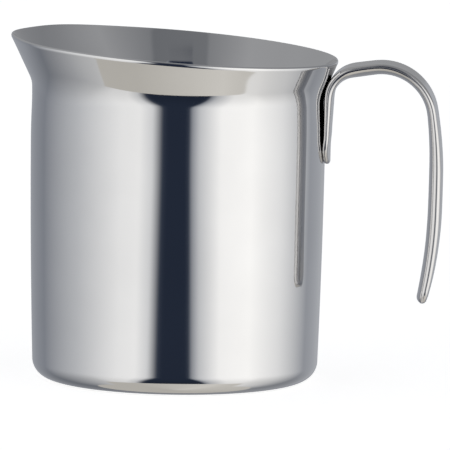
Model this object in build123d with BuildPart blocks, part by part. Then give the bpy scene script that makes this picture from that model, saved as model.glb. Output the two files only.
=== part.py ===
from build123d import *
import math
import os

# Milk frothing pitcher: a drawn stainless steel jug with an open strip handle.
# The origin is the centre of the base on the jug's axis. +Z is up, the handle is on +X
# and the spout on -X. All sizes are in millimetres.

# Jug: outside sizes of the drawn shell
base_radius = 45.0
corner_radius = 6.0
belly_radius = 45.95
belly_height = 45.0
wall_radius = 46.35
straight_from = 88.0
sheet = 0.9

# Standing ring and the floor raised inside it
ring_inner_radius = 34.0
floor_radius = 32.5
floor_raise = 0.8

# Neck, where the wall turns outwards; it is a little higher on the spout side. The wall is
# drawn past it by neck_overlap, then split along the neck's plane
neck_height = 93.4
neck_slope = 0.024
neck_fillet = 5.0
neck_overlap = 5.0

# Mouth: plan of the flare where it crosses the height mouth_height, as angle from the
# handle and radius; the other half is its mirror image
mouth_height = 112.0
mouth_plan = [(0, 54.7), (40, 54.1), (80, 53.8), (100, 53.9), (120, 54.6), (138, 56.3), (158, 54.7), (180, 55.1)]
# Level thickness of the flare's sloping sheet over the sheet's own thickness
slope_factor = 1.12

# Rim: the flare is cut off by a plane that falls from the spout to the handle
rim_height = 105.05
rim_slope = 0.065
rim_fillet = 0.35

# Handle strip
strip_width = 16.0
pad_thickness = 1.7
pad_sink = 0.25
pad_bottom = 69.0
pad_top = 72.0
pad_corner = 7.5
flat_from = 79.0
bend_start = 90.1
bend_start_reach = 47.5
bend_start_thickness = 2.4
bend_radius = 8.6
arm_angle = 8.5
arm_length = 6.9
arm_thickness = 4.0
# Radius and turn of the arcs from the arm to the tip, and the strip's thickness at their ends
shoulder_arc = (16.1, 90.0, 3.2)
upper_grip_arc = (128.0, 8.7, 4.1)
middle_grip_arc = (550.0, 1.25, 4.2)
lower_grip_arc = (134.0, 10.3, 3.6)
tip_arc = (300.0, 1.8, 3.3)
tip_corner = 4.5
# The strip is flat outside and crowned towards the fingers: how much thinner its edges are
# than its middle on the strap, the arm and the grip
strap_crown = 0.05
arm_crown = 1.7
grip_crown = 1.2
tip_height = 24.8

# Trim that rounds the strip's ends
pad_side = 40.0
trim_split = 62.0
trim_end = 90.0
trim_height = 90.0

# Spot welds between pad and wall
weld_diameter = 5.0
weld_depth = 0.45
weld_heights = [73.5, 79.5]

# An edge lies in a plane if these places along it are this near to the plane
probes = (0, 0.3, 0.6)
on_plane = 0.01

os.makedirs("parts", exist_ok=True)

neck_tilt = math.degrees(math.atan(neck_slope))
neck_plane = Plane(origin=(0, 0, neck_height), x_dir=(1, 0, -neck_slope), z_dir=(neck_slope, 0, 1))
rim_plane = Plane(origin=(0, 0, rim_height), x_dir=(1, 0, -rim_slope), z_dir=(rim_slope, 0, 1))


def shell_form(inset):
    """The jug filled solid, drawn inwards from its outside by inset."""
    top = neck_height + neck_overlap
    floor = floor_raise + inset
    with BuildPart() as form:
        with BuildSketch(Plane.XZ):
            with BuildLine():
                floor_line = Line((0, floor), (floor_radius, floor))
                step = Line(floor_line @ 1, (ring_inner_radius, inset))
                ring = Line(step @ 1, (base_radius - corner_radius, inset))
                corner = TangentArc(ring @ 1, (base_radius - inset, corner_radius), tangent=(1, 0))
                belly = ThreePointArc(
                    corner @ 1,
                    (belly_radius - inset, belly_height),
                    (wall_radius - inset, straight_from),
                )
                wall = Line(belly @ 1, (wall_radius - inset, top))
                lid = Line(wall @ 1, (0, top))
                Line(lid @ 1, (0, floor))
            make_face()
        revolve(axis=Axis.Z)
        split(bisect_by=neck_plane, keep=Keep.BOTTOM)
        with BuildSketch(neck_plane):
            Ellipse((wall_radius - inset) / math.cos(math.radians(neck_tilt)), wall_radius - inset)
        with BuildSketch(Plane.XY.offset(mouth_height)):
            with BuildLine():
                Spline(*mouth_points(inset), periodic=True)
            make_face()
        loft(ruled=True)
    return form.part


def mouth_points(inset):
    """The mouth's outline, drawn inwards by inset, at the height mouth_height."""
    mirrored = [(-angle, radius) for angle, radius in reversed(mouth_plan[1:-1])]
    points = []
    for angle, radius in mouth_plan + mirrored:
        reach = radius - inset * slope_factor
        points.append((reach * math.cos(math.radians(angle)), reach * math.sin(math.radians(angle))))
    return points


def lies_on(plane):
    """A filter that keeps the edges lying in a plane."""
    return lambda edge: all(abs(plane.to_local_coords(edge @ place).Z) < on_plane for place in probes)


outside = shell_form(0)
inside = shell_form(sheet)

# Spot welds: nuggets set half in the wall and half in the pad
with BuildPart() as spot_welds:
    with BuildSketch(Plane.YZ.offset(wall_radius)):
        with Locations(*[(0, height) for height in weld_heights]):
            Circle(weld_diameter / 2)
    extrude(amount=weld_depth, both=True)
spot_welds.part.label = "spot_welds"
export_step(spot_welds.part, "parts/spot_welds.step")

# Jug body: the drawn shell, cut off along the rim
with BuildPart() as jug_body:
    add(outside)
    add(inside, mode=Mode.SUBTRACT)
    split(bisect_by=rim_plane, keep=Keep.BOTTOM)
    neck_edges = jug_body.edges().filter_by(lies_on(neck_plane)).sort_by(SortBy.LENGTH)
    fillet(neck_edges[-1], radius=neck_fillet)
    neck_edges = jug_body.edges().filter_by(lies_on(neck_plane)).sort_by(SortBy.LENGTH)
    fillet(neck_edges[-1], radius=neck_fillet + sheet)
    fillet(jug_body.edges().filter_by(lies_on(rim_plane)), radius=rim_fillet)
    add(spot_welds.part, mode=Mode.SUBTRACT)
jug_body.part.label = "jug_body"
export_step(jug_body.part, "parts/jug_body.step")

# The handle's route, on the strip's mid-line, from the top of the pad to the free tip, with
# the thickness and the crown at the end of each stretch
stretches = []
with BuildLine(Plane.XZ):
    rise = Line((wall_radius + pad_thickness / 2, flat_from), (bend_start_reach, bend_start))
    stretches.append((rise, bend_start_thickness, strap_crown))
    bend = JernArc(rise @ 1, rise % 1, bend_radius, arm_angle - rise.tangent_angle_at(1))
    stretches.append((bend, arm_thickness, arm_crown))
    last = PolarLine(bend @ 1, arm_length, angle=arm_angle)
    stretches.append((last, arm_thickness, arm_crown))
    for radius, turn, thickness in (shoulder_arc, upper_grip_arc, middle_grip_arc, lower_grip_arc, tip_arc):
        last = JernArc(last @ 1, last % 1, radius, -turn)
        stretches.append((last, thickness, grip_crown))


def strip_section(line, place, thickness, crown):
    """The strip's section at one place on a line of the route, its outer face at local +y."""
    face = thickness / 2
    edge = thickness - crown
    flat = (strip_width - edge) / 2
    with BuildSketch(Plane(origin=line @ place, x_dir=(0, 1, 0), z_dir=line % place)) as section:
        with BuildLine():
            outer = Line((-flat, face), (flat, face))
            near_end = ThreePointArc(outer @ 1, (strip_width / 2, face - edge / 2), (flat, face - edge))
            fingers = ThreePointArc(near_end @ 1, (0, -face), (-flat, face - edge))
            ThreePointArc(fingers @ 1, (-strip_width / 2, face - edge / 2), outer @ 0)
        make_face()
    return section.sketch


# Outline of the strip seen along X, whose lower ends are rounded: the pad's and the free tip's
with BuildPart() as trim:
    with BuildSketch(Plane.YZ.offset(pad_side)):
        with Locations((0, pad_bottom)):
            RectangleRounded(strip_width, trim_height, pad_corner, align=(Align.CENTER, Align.MIN))
    extrude(amount=trim_split - pad_side)
    with BuildSketch(Plane.YZ.offset(trim_split)):
        with Locations((0, tip_height)):
            RectangleRounded(strip_width, trim_height, tip_corner, align=(Align.CENTER, Align.MIN))
    extrude(amount=trim_end - trim_split)

# Handle: the pad curved round the wall, blended into the flat strip that makes the hook
pad_reach = wall_radius + (pad_thickness - pad_sink) / 2
pad_half_angle = math.degrees((strip_width - pad_thickness) / 2 / pad_reach)
with BuildLine(Plane.XY) as pad_line:
    pad_arc = CenterArc((0, 0), pad_reach, -pad_half_angle, 2 * pad_half_angle)
with BuildPart() as handle:
    with BuildSketch(Plane.XY.offset(pad_bottom)):
        SlotArc(pad_arc, pad_thickness + pad_sink)
    extrude(amount=pad_top - pad_bottom)
    with BuildSketch(Plane.XY.offset(pad_top)):
        SlotArc(pad_arc, pad_thickness + pad_sink)
    add(strip_section(rise, 0, pad_thickness, strap_crown))
    loft()
    before, crown_before = pad_thickness, strap_crown
    for line, thickness, crown in stretches:
        sections = [strip_section(line, 0, before, crown_before), strip_section(line, 1, thickness, crown)]
        sweep(sections, path=line, multisection=True)
        before, crown_before = thickness, crown
    add(trim.part, mode=Mode.INTERSECT)
    add(jug_body.part, mode=Mode.SUBTRACT)
    add(spot_welds.part, mode=Mode.SUBTRACT)
handle.part.label = "handle"
export_step(handle.part, "parts/handle.step")
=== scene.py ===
import math

import bpy
import numpy as np
from mathutils import Matrix, Vector


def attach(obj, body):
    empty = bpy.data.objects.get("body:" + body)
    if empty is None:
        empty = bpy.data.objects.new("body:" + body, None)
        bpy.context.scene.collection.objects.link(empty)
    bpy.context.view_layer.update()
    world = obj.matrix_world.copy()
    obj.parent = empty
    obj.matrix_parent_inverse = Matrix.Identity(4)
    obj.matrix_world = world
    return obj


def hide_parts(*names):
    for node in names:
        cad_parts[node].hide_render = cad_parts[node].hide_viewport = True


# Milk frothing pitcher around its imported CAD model. The shape numbers are in millimetres
# and become metres in the mesh functions; the camera and the room are in metres.

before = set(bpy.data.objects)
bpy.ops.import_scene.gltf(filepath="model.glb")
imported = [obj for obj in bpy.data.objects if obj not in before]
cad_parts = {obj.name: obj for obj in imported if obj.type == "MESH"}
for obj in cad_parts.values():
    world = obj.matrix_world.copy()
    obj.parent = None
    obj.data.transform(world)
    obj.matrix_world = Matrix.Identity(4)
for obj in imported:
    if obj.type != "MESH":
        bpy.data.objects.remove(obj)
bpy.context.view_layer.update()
MM = 0.001

# Camera: place round the object in degrees, distance from the jug's middle, lens and roll
CAMERA_AZIMUTH = 4.5
CAMERA_ELEVATION = 6.9
CAMERA_DISTANCE = 2.6
CAMERA_LENS = 660.4
CAMERA_ROLL = 0.894
JUG_MIDDLE = Vector((0, 0, 0.050))
AIM_RIGHT = 0.0152
AIM_UP = -0.00137

# Jug shell, as in the CAD model but for its neck, waist and rim
FLOOR_RAISE = 0.8
FLOOR_RADIUS = 32.5
RING_INNER = 34.0
CORNER_RADIUS = 6.0
BASE_RADIUS = 45.0
BELLY_RADIUS = 45.95
BELLY_HEIGHT = 45.0
WALL_RADIUS = 46.35
STRAIGHT_FROM = 88.0
SHEET = 0.9
NECK_HEIGHT = 93.1
# The neck is lower by this much towards the handle and the spout
NECK_DROP = 0.3
NECK_SLOPE = 0.024
NECK_FILLET = 12.0
# The neck is rounder near the handle and beside the spout than in front, and sharper under it
NECK_ROUND_HANDLE = 5.0
NECK_ROUND_SPOUT = 12.0
NECK_SHARP_SPOUT = 5.0
MOUTH_HEIGHT = 112.0
# Plan of the flare at that height: angle from the handle and radius, mirrored on the other side
MOUTH_PLAN = [
    (0, 54.7), (40, 54.1), (80, 53.8), (100, 53.9),
    (120, 54.6), (138, 56.3), (158, 54.7), (180, 55.1),
]
# Turn of the flare between neck and rim, each way from its mean slope, in degrees
FLARE_CURVE = 1.2
# Slight waist of the wall under the neck: depth, height and spread
WAIST = (0.28, 89.0, 7.0)
RIM_HEIGHT = 105.05
RIM_SLOPE = 0.065
# How far the flare stops short of the rim's plane, so that its rounded edge stays under it
RIM_BACK = 0.45
# Length along the sheet over which its outside rounds off at the rim, and the radius inside
RIM_LENGTH = 1.0
RIM_EDGE = 0.18
# Columns of the shell's mesh round the jug
AROUND = 600

# Handle strip
STRIP_HALF_WIDTH = 8.0
ARM_THICKNESS = 4.0
SHOULDER_THICKNESS = 3.2
# Thickness at shares of the way from the shoulder to the tip
GRIP_THICKNESS = [(0.3, 4.1), (0.6, 4.2), (0.85, 3.9), (1.0, 3.35)]
PAD_THICKNESS = 1.7
PAD_BOTTOM = 69.0
PAD_TOP = 72.0
FLAT_FROM = 79.0
PAD_CORNER = 7.5
TIP_CORNER = 4.5
BEND_START = 90.1
BEND_START_REACH = 47.5
BEND_START_THICKNESS = 2.4
BEND_RADIUS = 8.6
ARM_ANGLE = 8.5
ARM_LENGTH = 6.82
# Radius and turn of the arcs from the arm to the tip
GRIP_ARCS = [(16.1, 90.0), (128.0, 8.7), (550.0, 1.25), (134.0, 10.3), (300.0, 0.9)]
# Share of the strip's edge that rounds into its outer face
OUTER_SHARE = 0.48
# Slope of the crown at the strip's edges, on the arm and on the grip, in degrees
ARM_CROWN = 29.0
GRIP_CROWN = 17.0
# Length past the bend over which the crown grows
CROWN_RUN = 4.0
# Stations along the handle's route, and the widths, in stations, of the windows that smooth its
# heading and its thickness
ROUTE_STEP = 0.05
HEADING_WINDOW = 83
THICKNESS_WINDOW = 121

# The inside's satin finish: the heights in metres between which it ends under the neck, and its
# roughness. It grows on faces turned to the jug's axis or upwards, between these cosines of the angle
# between the face's normal and the way outwards or upwards
SATIN_HEIGHTS = (0.090, 0.084)
SATIN_ROUGHNESS = 0.32
SATIN_INWARDS = (-0.1, -0.3)
SATIN_UPWARDS = (0.3, 0.5)

# Steel: tint, roughness, stretch of its drawing lines and their depth in metres
JUG_STEEL = ((0.78, 0.78, 0.785, 1.0), 0.055, (0.05, 0.05, 1.0), 0.0000004)
HANDLE_STEEL = ((0.76, 0.75, 0.745, 1.0), 0.12, (1.0, 0.05, 1.0), 0.0000006)
# How much darker the tint's clouds are, and the scales of clouds, smudges and drawing lines
CLOUD_SHADE = 0.965
CLOUD_SCALE = 38.0
SMUDGE_SCALE = 60.0
LINE_SCALE = 900.0
WELD_SCALE = 900.0
WELD_ROUGHNESS = 0.38

# Room that the steel mirrors. Bearings are in degrees from the camera's, heights are sines of the
# elevation, and a shade is as it shows in the steel, whose reflectance is STEEL_SHADE
STEEL_SHADE = 0.78
# Grey levels round the jug, from 0 to 255: grey walls with darker corners, and a broad softbox on
# each side of the dark gap behind the camera, brightest in its middle
RING = [
    (-180, 150), (-130, 125), (-85, 180), (-45, 225), (-30, 230), (-20, 205),
    (-12, 55), (-8, 40), (6, 40), (9, 60),
    (10.5, 130), (17, 190), (34, 240), (60, 248), (90, 220), (128, 145), (160, 160), (180, 150),
]
# Grey levels of the ceiling, which is darker over the camera and to the right behind the jug
CEILING = [
    (-180, 140), (-60, 150), (-25, 125), (-23, 110),
    (22, 105), (25, 120), (60, 145), (130, 120), (180, 140),
]
# Grey levels of the table, which is lit a little more from the right
TABLE = [(-180, 170), (-40, 170), (40, 195), (60, 185), (180, 170)]
# Tints: how much bluer than grey a black would be, and the level that is grey. The ring and the
# ceiling are bluer the darker they are, and the table is a little warm at every level
RING_TINT = (17.0, 215.0)
CEILING_TINT = (9.0, 180.0)
TABLE_TINT = (-8.0, 1000.0)
# The softboxes lean apart towards the table: how low the gap between them starts to widen, by how
# many degrees for each unit of depth below that, and how fast that fades round the room
GAP_FROM = 0.13
GAP_SPREAD = 41.0
GAP_FADE = 2.0
# Heights between which the ring dims towards the table, and by how much. It dims more behind the
# jug, where forward falls from the first of BEHIND_FROM to the second
DIM_HEIGHTS = (-0.15, -0.72)
DIM_SHARE = 0.20
DIM_BEHIND = 0.12
BEHIND_FROM = (0.42, 0.18)
# Height where the softboxes end and the ceiling begins, its rise towards the camera and its edge
CEILING_FROM = 0.29
CEILING_TURN = 0.26
CEILING_EDGE = 0.007
# The gap runs further up into the ceiling, between bearings of this share of a turn
NOTCH_BEARING = 0.030
NOTCH_EDGE = 0.003
NOTCH_RISE = 0.119
# Depth where the table begins, its fall towards the camera and its edge
TABLE_FROM = 0.682
TABLE_TURN = 0.02
TABLE_EDGE = 0.002
# The table begins lower behind the jug, where forward is under TABLE_BACK
TABLE_BACK = 0.245
TABLE_DROP = 1.6
TABLE_DROP_LIMIT = 0.16

# Studio floor in metres: half its width, and how far it lies under the jug
FLOOR_HALF = 6.0
FLOOR_DROP = 0.0003


def linear(value):
    """Scene-linear value of an sRGB one."""
    return value / 12.92 if value <= 0.04045 else ((value + 0.055) / 1.055) ** 2.4


def colour(red, green, blue):
    """Scene-linear RGBA of an sRGB colour given from 0 to 255."""
    return (linear(red / 255), linear(green / 255), linear(blue / 255), 1.0)


# ---------------------------------------------------------------- meshes

def make_mesh(name, points, faces):
    mesh = bpy.data.meshes.new(name)
    mesh.from_pydata((np.asarray(points) * MM).tolist(), [], faces)
    mesh.validate()
    mesh.polygons.foreach_set("use_smooth", np.ones(len(mesh.polygons), bool))
    mesh.update()
    obj = bpy.data.objects.new(name, mesh)
    bpy.context.scene.collection.objects.link(obj)
    return obj


def band_faces(rows, columns, start):
    """Quads between rows of points that each close on themselves, row by row from start."""
    faces = []
    for row in range(rows - 1):
        a, b = start + row * columns, start + (row + 1) * columns
        for i in range(columns):
            j = (i + 1) % columns
            faces.append((a + i, a + j, b + j, b + i))
    return faces


def smooth_plan(angles):
    """Mouth radius at these angles: a periodic cubic through the mouth plan."""
    plan = MOUTH_PLAN[:-1] + [(360 - a, r) for a, r in reversed(MOUTH_PLAN[1:])]
    knots = np.radians([a for a, _ in plan])
    radii = np.array([r for _, r in plan])
    count = len(knots)
    gaps = np.diff(np.append(knots, knots[0] + 2 * math.pi))
    system, right = np.zeros((count, count)), np.zeros(count)
    for i in range(count):
        before, after = gaps[i - 1], gaps[i]
        system[i, i - 1] += before
        system[i, i] += 2 * (before + after)
        system[i, (i + 1) % count] += after
        rise = (radii[(i + 1) % count] - radii[i]) / after
        right[i] = 6 * (rise - (radii[i] - radii[i - 1]) / before)
    bends = np.linalg.solve(system, right)
    angles = np.asarray(angles) % (2 * math.pi)
    found = np.searchsorted(knots, angles, side="right") - 1
    after = (found + 1) % count
    gap = gaps[found]
    right_part = (angles - knots[found]) / gap
    left_part = 1 - right_part
    curve = (left_part ** 3 - left_part) * bends[found] + (right_part ** 3 - right_part) * bends[after]
    return left_part * radii[found] + right_part * radii[after] + curve * gap ** 2 / 6


def arc(centre, radius, start, end, count):
    """Points (r, z) on an arc, from angle start to end in radians, without its first point."""
    turns = np.linspace(start, end, count + 1)[1:]
    return [(centre[0] + radius * math.cos(t), centre[1] + radius * math.sin(t)) for t in turns]


def barrel(inset, corner_start):
    """Points (r, z) up the wall, from the corner's top to STRAIGHT_FROM."""
    (x1, z1), (x2, z2), (x3, z3) = (
        (BASE_RADIUS - inset, CORNER_RADIUS),
        (BELLY_RADIUS - inset, BELLY_HEIGHT),
        (WALL_RADIUS - inset, STRAIGHT_FROM),
    )
    heights = np.linspace(corner_start, z3, 41)[1:]
    along = (heights - z1) / (z3 - z1)
    middle = (z2 - z1) / (z3 - z1)
    bulge = (x2 - x1 - middle * (x3 - x1)) / (middle * (1 - middle))
    return [(x1 + a * (x3 - x1) + bulge * a * (1 - a), z) for a, z in zip(along, heights)]


def ease(value):
    value = np.clip(value, 0, 1)
    return value * value * (3 - 2 * value)


def flare(first, first_tilt, end, shorter):
    """Points up the flare's outside, and normals into the sheet, from the neck to the rim's rounding."""
    chord = end - first
    length = float(np.hypot(*chord))
    turn = math.atan2(chord[0], chord[1])
    last_tilt = 2 * turn - first_tilt
    end = end - shorter * np.array([math.sin(last_tilt), math.cos(last_tilt)])
    middle = first + length / 2 * np.array([math.sin(first_tilt), math.cos(first_tilt)])
    points, normals = [], []
    for s in np.linspace(0, 1, 21):
        points.append((1 - s) ** 2 * first + 2 * s * (1 - s) * middle + s * s * end)
        tangent = (1 - s) * (middle - first) + s * (end - middle)
        tangent = tangent / np.hypot(*tangent)
        normals.append([-tangent[1], tangent[0]])
    return np.array(points), np.array(normals)


def neck_fillet(angle):
    """Outer radius of the neck at this angle from the handle."""
    if math.cos(angle) > 0:
        return NECK_FILLET + NECK_ROUND_HANDLE * math.cos(angle) ** 2
    beside, under = math.sin(2 * angle) ** 2, math.cos(angle) ** 2
    return NECK_FILLET + NECK_ROUND_SPOUT * beside - NECK_SHARP_SPOUT * under


def jug_profile(angle, mouth):
    """The shell's half-section (r, z) at one angle, from the floor's underside to its top."""
    lean = NECK_SLOPE * math.cos(angle)
    neck = NECK_HEIGHT - lean * WALL_RADIUS - NECK_DROP * math.cos(angle) ** 2
    slope = (mouth - WALL_RADIUS) / (MOUTH_HEIGHT - neck)
    tilt = math.atan(slope)
    reach = math.tan(tilt / 2)
    fall = RIM_SLOPE * math.cos(angle)
    rim_reach = (WALL_RADIUS + (RIM_HEIGHT - neck) * slope) / (1 + fall * slope)
    outer_end = np.array([rim_reach, RIM_HEIGHT - fall * rim_reach])
    points = [(r, FLOOR_RAISE) for r in np.linspace(0, FLOOR_RADIUS - 1.0, 14)[1:]]
    points += [(FLOOR_RADIUS - 0.5, 0.78), (FLOOR_RADIUS, 0.70)]
    points += [(FLOOR_RADIUS + 0.4, 0.55), (RING_INNER - 0.4, 0.25)]
    points += [(RING_INNER, 0.08), (RING_INNER + 0.5, 0.015)]
    points += [(r, 0.0) for r in np.linspace(RING_INNER + 1.0, BASE_RADIUS - CORNER_RADIUS, 5)]
    centre = (BASE_RADIUS - CORNER_RADIUS, CORNER_RADIUS)
    points += arc(centre, CORNER_RADIUS, -math.pi / 2, 0, 24)
    points += barrel(0, CORNER_RADIUS)
    fillet = neck_fillet(angle)
    start = neck - fillet * reach
    points += [(WALL_RADIUS, z) for z in np.linspace(STRAIGHT_FROM, start, 6)[1:]]
    flare_start = tilt - math.radians(FLARE_CURVE)
    centre = (WALL_RADIUS + fillet, start)
    points += arc(centre, fillet, math.pi, math.pi - flare_start, 14)
    outer, normals = flare(np.array(points[-1]), flare_start, outer_end, RIM_LENGTH + RIM_BACK)
    points += [tuple(p) for p in outer[1:]]
    top, across = outer[-1], normals[-1]
    along = np.array([across[1], -across[0]])
    depth = SHEET - RIM_EDGE
    for turn in np.linspace(0, math.pi / 2, 15)[1:]:
        inwards, upwards = depth * (1 - math.cos(turn)), RIM_LENGTH * math.sin(turn)
        points.append(tuple(top + across * inwards + along * upwards))
    edge = top + across * depth + along * (RIM_LENGTH - RIM_EDGE)
    for turn in np.linspace(0, math.pi / 2, 6)[1:]:
        inwards, upwards = RIM_EDGE * math.sin(turn), RIM_EDGE * math.cos(turn)
        points.append(tuple(edge + across * inwards + along * upwards))

    inner_wall = WALL_RADIUS - SHEET
    points += [tuple(p) for p in (outer + normals * SHEET)[::-1]]
    points += arc(centre, fillet + SHEET, math.pi - flare_start, math.pi, 14)
    points += [(inner_wall, z) for z in np.linspace(start, STRAIGHT_FROM, 6)[1:]]
    inner_corner = CORNER_RADIUS - SHEET
    points += list(reversed(barrel(SHEET, CORNER_RADIUS)))[1:]
    points += [(BASE_RADIUS - SHEET, CORNER_RADIUS)]
    centre = (BASE_RADIUS - CORNER_RADIUS, CORNER_RADIUS)
    points += arc(centre, inner_corner, 0, -math.pi / 2, 24)
    points += [(r, SHEET) for r in np.linspace(BASE_RADIUS - CORNER_RADIUS, RING_INNER + 0.8, 4)[1:]]
    points += [(RING_INNER, SHEET + 0.06), (RING_INNER - 0.4, SHEET + 0.25)]
    points += [(FLOOR_RADIUS + 0.4, SHEET + 0.55), (FLOOR_RADIUS, SHEET + 0.74)]
    points += [(r, SHEET + FLOOR_RAISE) for r in np.linspace(FLOOR_RADIUS - 0.8, 0, 14)[:-1]]
    return points


def make_jug():
    angles = np.linspace(0, 2 * math.pi, AROUND, endpoint=False)
    mouths = smooth_plan(angles)
    profiles = np.array([jug_profile(a, m) for a, m in zip(angles, mouths)])
    depth, height, spread = WAIST
    on_wall = profiles[:, :, 0] > BASE_RADIUS / 2
    profiles[:, :, 0] -= on_wall * depth * np.exp(-((profiles[:, :, 1] - height) / spread) ** 2)
    rows = profiles.shape[1]
    reach, height = profiles[:, :, 0].T, profiles[:, :, 1].T
    ring = np.stack([reach * np.cos(angles), reach * np.sin(angles), height], axis=2)
    points = np.concatenate([[(0, 0, FLOOR_RAISE)], ring.reshape(-1, 3), [(0, 0, SHEET + FLOOR_RAISE)]])
    faces = [(0, 1 + (i + 1) % AROUND, 1 + i) for i in range(AROUND)]
    faces += band_faces(rows, AROUND, 1)
    last = 1 + (rows - 1) * AROUND
    faces += [(last + i, last + (i + 1) % AROUND, len(points) - 1) for i in range(AROUND)]
    return make_mesh("jug_shell", points, faces)


def smoothed(values, width):
    """Values averaged under a bell-shaped window of this width, their ends held."""
    window = np.hanning(width)[1:-1]
    padded = np.pad(values, len(window) // 2, mode="edge")
    return np.convolve(padded, window / window.sum(), mode="valid")


def handle_route():
    """Stations on the strip's mid-line: distance, x, z and heading, from the pad's lower end."""
    reach = WALL_RADIUS + PAD_THICKNESS / 2
    rise_heading = math.degrees(math.atan2(BEND_START - FLAT_FROM, BEND_START_REACH - reach))
    rise_length = math.hypot(BEND_START - FLAT_FROM, BEND_START_REACH - reach)
    pieces = [
        (FLAT_FROM - PAD_BOTTOM, 90.0, 90.0),
        (rise_length, rise_heading, rise_heading),
        (BEND_RADIUS * math.radians(rise_heading - ARM_ANGLE), rise_heading, ARM_ANGLE),
        (ARM_LENGTH, ARM_ANGLE, ARM_ANGLE),
    ]
    heading = ARM_ANGLE
    for radius, turn in GRIP_ARCS:
        pieces.append((radius * math.radians(turn), heading, heading - turn))
        heading -= turn
    headings = []
    for length, first, final in pieces:
        count = max(2, round(length / ROUTE_STEP))
        headings += list(first + (final - first) * (np.arange(count) + 0.5) / count)
    headings = np.radians(smoothed(headings, HEADING_WINDOW))
    x = reach + np.concatenate([[0], np.cumsum(np.cos(headings) * ROUTE_STEP)])
    z = PAD_BOTTOM + np.concatenate([[0], np.cumsum(np.sin(headings) * ROUTE_STEP)])
    headings = np.append(headings, headings[-1])
    return np.arange(len(x)) * ROUTE_STEP, x, z, headings


def strip_section(half_width, thickness, slope):
    """A strip's section (y, n) as one loop, flat outside and crowned towards the fingers.

    n points away from the fingers, and slope is the crown's at the strip's edges, in radians.
    """
    half, rise = thickness / 2, math.tan(slope / 2)
    edge = thickness - half_width * rise
    outer = min(OUTER_SHARE * edge, half_width)
    inner = min((1 - OUTER_SHARE) * edge / (1 - rise), half_width)
    side = inner - half + (half_width - inner) * rise
    reach = half_width - inner + inner * math.sin(slope)
    bend = math.sin(slope) / max(reach, 0.001)
    loop = []

    def corner(y, n, radius, start, end):
        for turn in np.radians(np.linspace(start, end, 11)):
            loop.append((y + radius * math.cos(turn), n + radius * math.sin(turn)))

    tilt = math.degrees(slope)
    corner(half_width - outer, half - outer, outer, 0, 90)
    for y in np.linspace(half_width - outer, outer - half_width, 13)[1:-1]:
        loop.append((y, half))
    corner(outer - half_width, half - outer, outer, 90, 180)
    corner(inner - half_width, side, inner, 180, 270 - tilt)
    for y in np.linspace(-reach, reach, 25)[1:-1]:
        loop.append((y, bend * y * y / (1 + math.sqrt(1 - (bend * y) ** 2)) - half))
    corner(half_width - inner, side, inner, 270 + tilt, 360)
    return np.array(loop)


def make_handle():
    distance, x, z, heading = handle_route()
    total = distance[-1]
    stations = np.concatenate([
        PAD_CORNER * (1 - np.cos(np.linspace(0, math.pi / 2, 28)))[:-1],
        np.linspace(PAD_CORNER, total - TIP_CORNER, 300)[:-1],
        total - TIP_CORNER * (1 - np.cos(np.linspace(math.pi / 2, 0, 24))),
    ])
    curled_to, flat_at = PAD_TOP - PAD_BOTTOM, FLAT_FROM - PAD_BOTTOM
    bend_at = BEND_START - PAD_BOTTOM
    arm_at = bend_at + BEND_RADIUS * math.radians(90 - ARM_ANGLE)
    grip_at = arm_at + ARM_LENGTH + GRIP_ARCS[0][0] * math.radians(GRIP_ARCS[0][1])
    places = [flat_at, bend_at, arm_at, grip_at]
    places += [grip_at + (total - grip_at) * share for share, _ in GRIP_THICKNESS]
    sizes = [PAD_THICKNESS, BEND_START_THICKNESS, ARM_THICKNESS, SHOULDER_THICKNESS]
    sizes += [size for _, size in GRIP_THICKNESS]
    thicknesses = smoothed(np.interp(distance, places, sizes), THICKNESS_WINDOW)
    rows = []
    for s in stations:
        here = np.array([np.interp(s, distance, x), np.interp(s, distance, z)])
        turn = np.interp(s, distance, heading)
        thickness = np.interp(s, distance, thicknesses)
        slope = ARM_CROWN + (GRIP_CROWN - ARM_CROWN) * ease((s - arm_at) / (grip_at - arm_at))
        slope = math.radians(slope) * ease((s - bend_at) / (arm_at + CROWN_RUN - bend_at))
        width, end_round = STRIP_HALF_WIDTH, 1.0
        for gap, radius in ((s, PAD_CORNER), (total - s, TIP_CORNER)):
            if gap < radius:
                width = STRIP_HALF_WIDTH - radius + math.sqrt(max(radius ** 2 - (radius - gap) ** 2, 0))
            half = thickness / 2
            if gap < half:
                end_round = math.sqrt(max(1 - (1 - gap / half) ** 2, 0.0025))
        section = strip_section(max(width, 0.3), thickness * end_round, slope)
        curl = (1 - ease((s - curled_to) / (flat_at - curled_to))) / (WALL_RADIUS + PAD_THICKNESS / 2)
        y, n = section[:, 0], section[:, 1]
        if curl > 1e-5:
            dip = (1 - np.cos(curl * y)) / curl
            across = np.sin(curl * y) / curl
            normal_n, normal_y = np.cos(curl * y), -np.sin(curl * y)
        else:
            dip, across, normal_n, normal_y = 0 * y, y, np.ones_like(y), 0 * y
        lift = n * normal_n + dip
        side = across + n * normal_y
        rows.append(np.stack([
            here[0] - math.sin(turn) * lift,
            side,
            here[1] + math.cos(turn) * lift,
        ], axis=1))
    columns = len(rows[0])
    points = np.concatenate(rows)
    faces = band_faces(len(rows), columns, 0)
    faces.append(tuple(range(columns)))
    faces.append(tuple(reversed(range(len(points) - columns, len(points)))))
    return make_mesh("handle_strip", points, faces)


# ---------------------------------------------------------------- materials

def new_material(name):
    material = bpy.data.materials.new(name)
    material.use_nodes = True
    nodes, links = material.node_tree.nodes, material.node_tree.links
    shader = nodes["Principled BSDF"]
    return material, nodes, links, shader


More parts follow.
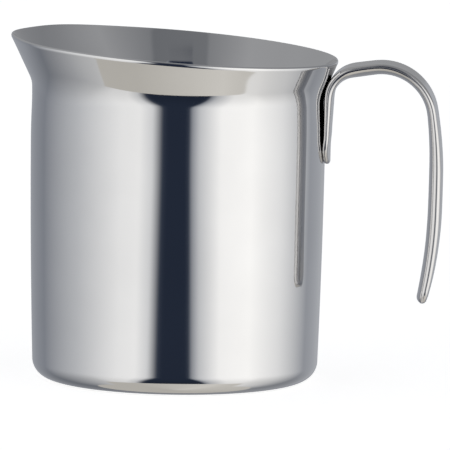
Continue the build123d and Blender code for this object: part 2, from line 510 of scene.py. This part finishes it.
def satin_inside(nodes, links, place, ramp, blur):
    """Roughness that grows to satin on the faces turned to the jug's axis, below the neck."""
    def vector_maths(operation, first, second=None):
        node = nodes.new("ShaderNodeVectorMath")
        node.operation = operation
        links.new(first, node.inputs[0])
        if isinstance(second, tuple):
            node.inputs[1].default_value = second
        elif second is not None:
            links.new(second, node.inputs[1])
        return node

    def maths(operation, first, second):
        node = nodes.new("ShaderNodeMath")
        node.operation = operation
        links.new(first, node.inputs[0])
        links.new(second, node.inputs[1])
        return node.outputs[0]

    def dot(first, second):
        return vector_maths("DOT_PRODUCT", first, second).outputs["Value"]

    spot, normal = place.outputs["Object"], place.outputs["Normal"]
    level = vector_maths("MULTIPLY", spot, (1, 1, 0)).outputs[0]
    spoke = vector_maths("NORMALIZE", level).outputs[0]
    inwards = ramp(dot(normal, spoke), *SATIN_INWARDS, 0.0, 1.0)
    upwards = ramp(dot(normal, (0, 0, 1)), *SATIN_UPWARDS, 0.0, 1.0)
    low = ramp(dot(spot, (0, 0, 1)), *SATIN_HEIGHTS, 0.0, 1.0)
    inside = maths("MULTIPLY", maths("MAXIMUM", inwards, upwards), low)
    return maths("MAXIMUM", blur, ramp(inside, 0.0, 1.0, 0.0, SATIN_ROUGHNESS))


def steel(name, tint, roughness, scratch_axis, bump_height, satin_below=False):
    """Polished stainless steel with faint drawing lines, cleaning marks and small colour changes."""
    material, nodes, links, shader = new_material(name)
    shader.inputs["Metallic"].default_value = 1.0
    place = nodes.new("ShaderNodeTexCoord")

    def noise(scale, detail, stretch):
        mapping = nodes.new("ShaderNodeMapping")
        mapping.inputs["Scale"].default_value = stretch
        links.new(place.outputs["Object"], mapping.inputs["Vector"])
        texture = nodes.new("ShaderNodeTexNoise")
        texture.inputs["Scale"].default_value = scale
        texture.inputs["Detail"].default_value = detail
        links.new(mapping.outputs["Vector"], texture.inputs["Vector"])
        return texture.outputs["Fac"]

    def ramp(source, low, high, start, end):
        node = nodes.new("ShaderNodeMapRange")
        node.inputs["From Min"].default_value = low
        node.inputs["From Max"].default_value = high
        node.inputs["To Min"].default_value = start
        node.inputs["To Max"].default_value = end
        links.new(source, node.inputs["Value"])
        return node.outputs["Result"]

    cloud = noise(CLOUD_SCALE, 3.0, (1, 1, 1))
    mix = nodes.new("ShaderNodeMix")
    mix.data_type = "RGBA"
    mix.inputs["A"].default_value = tint
    mix.inputs["B"].default_value = tuple(c * CLOUD_SHADE for c in tint[:3]) + (1.0,)
    links.new(ramp(cloud, 0.35, 0.65, 0.0, 1.0), mix.inputs["Factor"])
    links.new(mix.outputs["Result"], shader.inputs["Base Color"])

    smudge = noise(SMUDGE_SCALE, 4.0, (1, 1, 0.6))
    blur = ramp(smudge, 0.35, 0.75, roughness * 0.85, roughness * 1.3)
    if satin_below:
        blur = satin_inside(nodes, links, place, ramp, blur)
    links.new(blur, shader.inputs["Roughness"])

    lines = noise(LINE_SCALE, 2.0, scratch_axis)
    bump = nodes.new("ShaderNodeBump")
    bump.inputs["Strength"].default_value = 1.0
    bump.inputs["Distance"].default_value = bump_height
    links.new(lines, bump.inputs["Height"])
    links.new(bump.outputs["Normal"], shader.inputs["Normal"])
    return material


def dull_steel(name):
    """Heat-dulled steel of a resistance weld."""
    material, nodes, links, shader = new_material(name)
    shader.inputs["Metallic"].default_value = 1.0
    place = nodes.new("ShaderNodeTexCoord")
    texture = nodes.new("ShaderNodeTexNoise")
    texture.inputs["Scale"].default_value = WELD_SCALE
    links.new(place.outputs["Object"], texture.inputs["Vector"])
    shades = nodes.new("ShaderNodeValToRGB")
    shades.color_ramp.elements[0].color = colour(150, 142, 132)
    shades.color_ramp.elements[1].color = colour(190, 186, 180)
    links.new(texture.outputs["Fac"], shades.inputs["Fac"])
    links.new(shades.outputs["Color"], shader.inputs["Base Color"])
    shader.inputs["Roughness"].default_value = WELD_ROUGHNESS
    return material


# ---------------------------------------------------------------- room

def make_room():
    """Softboxes left and right of a dark gap behind the camera, a grey room and a pale table."""
    world = bpy.data.worlds.new("studio")
    bpy.context.scene.world = world
    world.use_nodes = True
    nodes, links = world.node_tree.nodes, world.node_tree.links
    nodes.clear()
    coords = nodes.new("ShaderNodeTexCoord")
    azimuth = math.radians(CAMERA_AZIMUTH)

    def maths(operation, first, second=None):
        node = nodes.new("ShaderNodeMath")
        node.operation = operation
        for socket, value in zip(node.inputs, (first, second)):
            if isinstance(value, (int, float)):
                socket.default_value = value
            elif value is not None:
                links.new(value, socket)
        return node.outputs[0]

    def along(direction):
        node = nodes.new("ShaderNodeVectorMath")
        node.operation = "DOT_PRODUCT"
        links.new(coords.outputs["Generated"], node.inputs[0])
        node.inputs[1].default_value = direction
        return node.outputs["Value"]

    def mix(amount, first, second):
        node = nodes.new("ShaderNodeMix")
        node.data_type = "RGBA"
        for name, value in (("Factor", amount), ("A", first), ("B", second)):
            if isinstance(value, (tuple, float)):
                node.inputs[name].default_value = value
            else:
                links.new(value, node.inputs[name])
        return node.outputs["Result"]

    def step(value, low, high):
        node = nodes.new("ShaderNodeMapRange")
        node.interpolation_type = "SMOOTHSTEP"
        node.inputs["From Min"].default_value = low
        node.inputs["From Max"].default_value = high
        links.new(value, node.inputs["Value"])
        return node.outputs["Result"]

    rightward = along((math.cos(azimuth), math.sin(azimuth), 0))
    forward = along((math.sin(azimuth), -math.cos(azimuth), 0))
    upward = along((0, 0, 1))
    bearing = maths("MULTIPLY", maths("ARCTAN2", rightward, forward), 1 / (2 * math.pi))

    def shades(stops, tint, place):
        blue, grey = tint
        node = nodes.new("ShaderNodeValToRGB")
        elements = node.color_ramp.elements
        elements.remove(elements[-1])
        for number, (degrees, level) in enumerate(stops):
            at = 0.5 + degrees / 360
            element = elements[0] if number == 0 else elements.new(at)
            element.position = at
            lift = blue * (1 - level / grey)
            shade = colour(level - lift / 2, level, level + lift)
            element.color = tuple(c / STEEL_SHADE for c in shade[:3]) + (1.0,)
        links.new(maths("ADD", place, 0.5), node.inputs["Fac"])
        return node.outputs["Color"]

    lean = maths("MAXIMUM", maths("SUBTRACT", maths("MULTIPLY", upward, -1.0), GAP_FROM), 0.0)
    turned = maths("ABSOLUTE", bearing)
    fade = maths("SUBTRACT", 1.0, maths("MULTIPLY", turned, GAP_FADE))
    shift = maths("MULTIPLY", maths("MULTIPLY", lean, GAP_SPREAD / 360), fade)
    shifted = maths("MAXIMUM", maths("SUBTRACT", turned, shift), 0.0)
    around = shades(RING, RING_TINT, maths("MULTIPLY", shifted, maths("SIGN", bearing)))
    extra = maths("MULTIPLY", step(forward, *BEHIND_FROM), DIM_BEHIND)
    low = maths("MULTIPLY", step(upward, *DIM_HEIGHTS), maths("ADD", DIM_SHARE, extra))
    dim = mix(low, around, (0.0, 0.0, 0.0, 1.0))
    notch = maths("MULTIPLY", step(turned, NOTCH_BEARING + NOTCH_EDGE, NOTCH_BEARING), NOTCH_RISE)
    ceiling_sine = maths("ADD", maths("ADD", maths("MULTIPLY", forward, CEILING_TURN), CEILING_FROM), notch)
    above = maths("SUBTRACT", upward, ceiling_sine)
    sky = mix(step(above, -CEILING_EDGE, CEILING_EDGE), dim, shades(CEILING, CEILING_TINT, bearing))
    behind = maths("MAXIMUM", maths("SUBTRACT", TABLE_BACK, forward), 0.0)
    drop = maths("MINIMUM", maths("MULTIPLY", behind, TABLE_DROP), TABLE_DROP_LIMIT)
    table_sine = maths("ADD", maths("MULTIPLY", forward, TABLE_TURN), drop)
    edge = maths("SUBTRACT", maths("MULTIPLY", upward, -1.0), maths("ADD", table_sine, TABLE_FROM))
    whole = mix(step(edge, -TABLE_EDGE, TABLE_EDGE), sky, shades(TABLE, TABLE_TINT, bearing))

    light = nodes.new("ShaderNodeLightPath")
    seen = mix(light.outputs["Is Camera Ray"], whole, (1.0, 1.0, 1.0, 1.0))
    background = nodes.new("ShaderNodeBackground")
    links.new(seen, background.inputs["Color"])
    out = nodes.new("ShaderNodeOutputWorld")
    links.new(background.outputs["Background"], out.inputs["Surface"])



def make_floor():
    mesh = bpy.data.meshes.new("studio_floor")
    corners = [(x * FLOOR_HALF, y * FLOOR_HALF, -FLOOR_DROP) for x, y in ((-1, -1), (1, -1), (1, 1), (-1, 1))]
    mesh.from_pydata(corners, [], [(0, 1, 2, 3)])
    floor = bpy.data.objects.new("studio_floor", mesh)
    bpy.context.scene.collection.objects.link(floor)
    material, nodes, links, shader = new_material("studio_floor")
    shader.inputs["Base Color"].default_value = (0.9, 0.9, 0.9, 1.0)
    shader.inputs["Roughness"].default_value = 1.0
    shader.inputs["Emission Color"].default_value = (1, 1, 1, 1)
    shader.inputs["Emission Strength"].default_value = 0.7
    mesh.materials.append(material)
    floor.visible_glossy = False


def make_camera():
    azimuth, elevation = math.radians(CAMERA_AZIMUTH), math.radians(CAMERA_ELEVATION)
    back = Vector((
        math.sin(azimuth) * math.cos(elevation),
        -math.cos(azimuth) * math.cos(elevation),
        math.sin(elevation),
    ))
    right = Vector((math.cos(azimuth), math.sin(azimuth), 0))
    place = JUG_MIDDLE + back * CAMERA_DISTANCE
    aim = JUG_MIDDLE + right * AIM_RIGHT + back.cross(right) * AIM_UP
    back = (place - aim).normalized()
    right = Vector((0, 0, 1)).cross(back).normalized()
    up = back.cross(right)
    roll = math.radians(CAMERA_ROLL)
    cosine, sine = math.cos(roll), math.sin(roll)
    right, up = right * cosine + up * sine, up * cosine - right * sine
    data = bpy.data.cameras.new("camera")
    data.lens = CAMERA_LENS
    data.sensor_width = 36.0
    data.clip_start, data.clip_end = 0.1, 30.0
    camera = bpy.data.objects.new("camera", data)
    bpy.context.scene.collection.objects.link(camera)
    camera.matrix_world = Matrix((
        (right.x, up.x, back.x, place.x),
        (right.y, up.y, back.y, place.y),
        (right.z, up.z, back.z, place.z),
        (0, 0, 0, 1),
    ))
    bpy.context.scene.camera = camera


bpy.context.scene.view_settings.view_transform = "Standard"
make_camera()
make_room()
make_floor()

jug = make_jug()
jug.data.materials.append(steel("jug_steel", *JUG_STEEL, satin_below=True))
handle = make_handle()
handle.data.materials.append(steel("handle_steel", *HANDLE_STEEL))

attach(jug, "root")
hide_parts("jug_body")
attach(handle, "root")
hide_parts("handle")

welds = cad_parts["spot_welds"]
welds.data.materials.clear()
welds.data.materials.append(dull_steel("weld_steel"))
